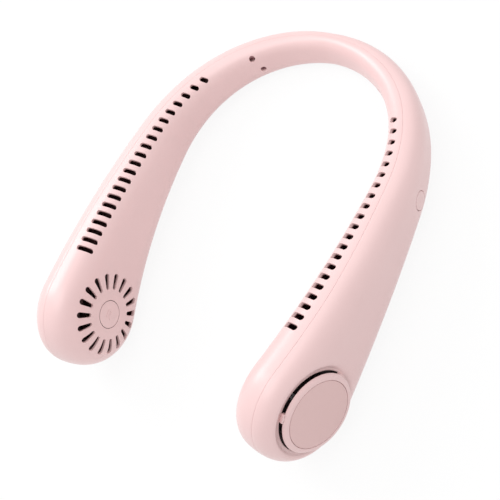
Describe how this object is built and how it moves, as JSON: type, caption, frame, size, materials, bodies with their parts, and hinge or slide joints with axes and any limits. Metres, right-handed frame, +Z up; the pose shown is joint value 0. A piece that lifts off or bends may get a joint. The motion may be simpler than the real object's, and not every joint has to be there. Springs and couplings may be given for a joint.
{
  "type": "neck fan",
  "caption": "Bladeless neck fan: a rigid U-shaped neckband with a round centrifugal fan pod at each end and rows of air vents along the arms.",
  "frame": {"origin": "on the table under the middle of the band's outline, as it lies on both pods and the nape", "axes": "+X to the wearer's left, +Y to the nape, +Z up"},
  "size_m": [0.1852, 0.2214, 0.0606],
  "materials": {
    "shell_plastic": "satin pale pink moulded plastic",
    "inlay_plastic": "satin, a shade deeper than the shells",
    "wheel_plastic": "moulded, dull",
    "liner_plastic": "moulded, dull",
    "motor_steel": "drawn steel",
    "magnet": "dull",
    "core_steel": "laminated, lacquered",
    "copper": "enamelled wire",
    "brass": "turned",
    "cell_wrap": "shrink wrap",
    "board": "solder mask",
    "black_plastic": "moulded",
    "screw_steel": "zinc plated, dark",
    "cable_red": "insulation"
  },
  "bodies": {
    "band": {"inner_shell": "shell_plastic", "outer_shell": "shell_plastic", "left_intake_cap": "shell_plastic", "right_intake_cap": "shell_plastic", "left_cap_inlay": "inlay_plastic", "right_cap_inlay": "inlay_plastic", "left_side_disc": "shell_plastic", "right_side_disc": "shell_plastic", "left_scroll_wall": "liner_plastic", "right_scroll_wall": "liner_plastic", "left_duct_floor": "liner_plastic", "right_duct_floor": "liner_plastic", "left_bearing_tube": "brass", "right_bearing_tube": "brass", "left_stator_core": "core_steel", "right_stator_core": "core_steel", "left_motor_coils": "copper", "right_motor_coils": "copper", "left_battery_cell": "cell_wrap", "right_battery_cell": "cell_wrap", "tact_switch": "motor_steel", "control_board": "board", "usb_socket": "motor_steel", "shell_screws": "screw_steel", "crossover_cable": "cable_red", "left_battery_lead": "cable_red"},
    "left_fan": {"left_impeller": "wheel_plastic", "left_rotor_can": "motor_steel", "left_magnet_ring": "magnet", "left_motor_shaft": "motor_steel"},
    "right_fan": {"right_impeller": "wheel_plastic", "right_rotor_can": "motor_steel", "right_magnet_ring": "magnet", "right_motor_shaft": "motor_steel"},
    "button": {"power_button": "shell_plastic", "switch_plunger": "black_plastic"}
  },
  "joints": [
    {"name": "left_fan_spin", "type": "hinge", "parent": "band", "child": "left_fan", "pos_m": [0.07113, -0.08021, 0.03028], "axis": [0.9866, -0.1596, 0.0353], "continuous": true},
    {"name": "right_fan_spin", "type": "hinge", "parent": "band", "child": "right_fan", "pos_m": [-0.07113, -0.08021, 0.03028], "axis": [-0.9866, -0.1596, 0.0353], "continuous": true},
    {"name": "power_button_press", "type": "slide", "parent": "band", "child": "button", "axis": [-0.9958, -0.0892, 0.0197], "range_m": [0, 0.0005], "stiffness_N_per_m": 800, "springref_m": -0.0005}
  ]
}
